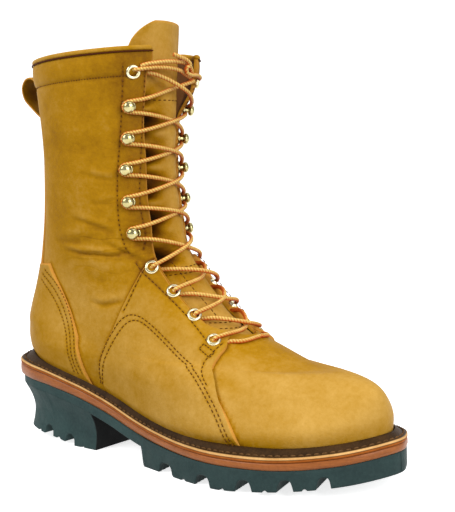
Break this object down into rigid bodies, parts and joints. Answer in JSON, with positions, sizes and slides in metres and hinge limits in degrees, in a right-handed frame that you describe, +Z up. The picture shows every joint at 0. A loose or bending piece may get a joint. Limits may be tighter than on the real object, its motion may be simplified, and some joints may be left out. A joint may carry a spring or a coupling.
{
  "type": "lineman boot",
  "caption": "Tall lace-up leather work boot, right foot, with heel counter, pull loop, raised leather welt, lugged rubber sole and heel block. It stands empty on its sole.",
  "frame": {"origin": "on the floor, under the middle of the box round the boot without its free lace ends", "axes": "+X from heel to toe, +Y to the inner side of the foot, +Z up the shaft"},
  "size_m": [0.3112, 0.1126, 0.2906],
  "materials": {
    "sole_rubber": "matt black rubber",
    "edge_leather": "waxed leather edge",
    "brown_leather": "oiled tan leather",
    "insole_leather": "plain leather",
    "brass": "bright brass",
    "lace_weave": "braided cord"
  },
  "bodies": {
    "root": {"outsole": "sole_rubber", "heel": "sole_rubber", "midsole": "edge_leather", "welt": "edge_leather", "upper": "brown_leather", "counter": "brown_leather", "back_strip": "brown_leather", "saddle_outer": "brown_leather", "saddle_inner": "brown_leather", "collar_binding": "brown_leather", "tongue": "brown_leather", "pull_loop": "brown_leather", "insole": "insole_leather", "eyelet_outer_1": "brass", "eyelet_outer_2": "brass", "eyelet_outer_3": "brass", "eyelet_outer_4": "brass", "eyelet_outer_5": "brass", "eyelet_inner_1": "brass", "eyelet_inner_2": "brass", "eyelet_inner_3": "brass", "eyelet_inner_4": "brass", "eyelet_inner_5": "brass", "hook_outer_1": "brass", "hook_outer_2": "brass", "hook_outer_3": "brass", "hook_outer_4": "brass", "hook_outer_5": "brass", "hook_inner_1": "brass", "hook_inner_2": "brass", "hook_inner_3": "brass", "hook_inner_4": "brass", "hook_inner_5": "brass", "lace": "lace_weave", "lace_knot": "lace_weave", "lace_tail_outer": "lace_weave", "lace_tail_inner": "lace_weave", "lace_end_outer": "lace_weave", "lace_end_inner": "lace_weave"}
  },
  "joints": []
}
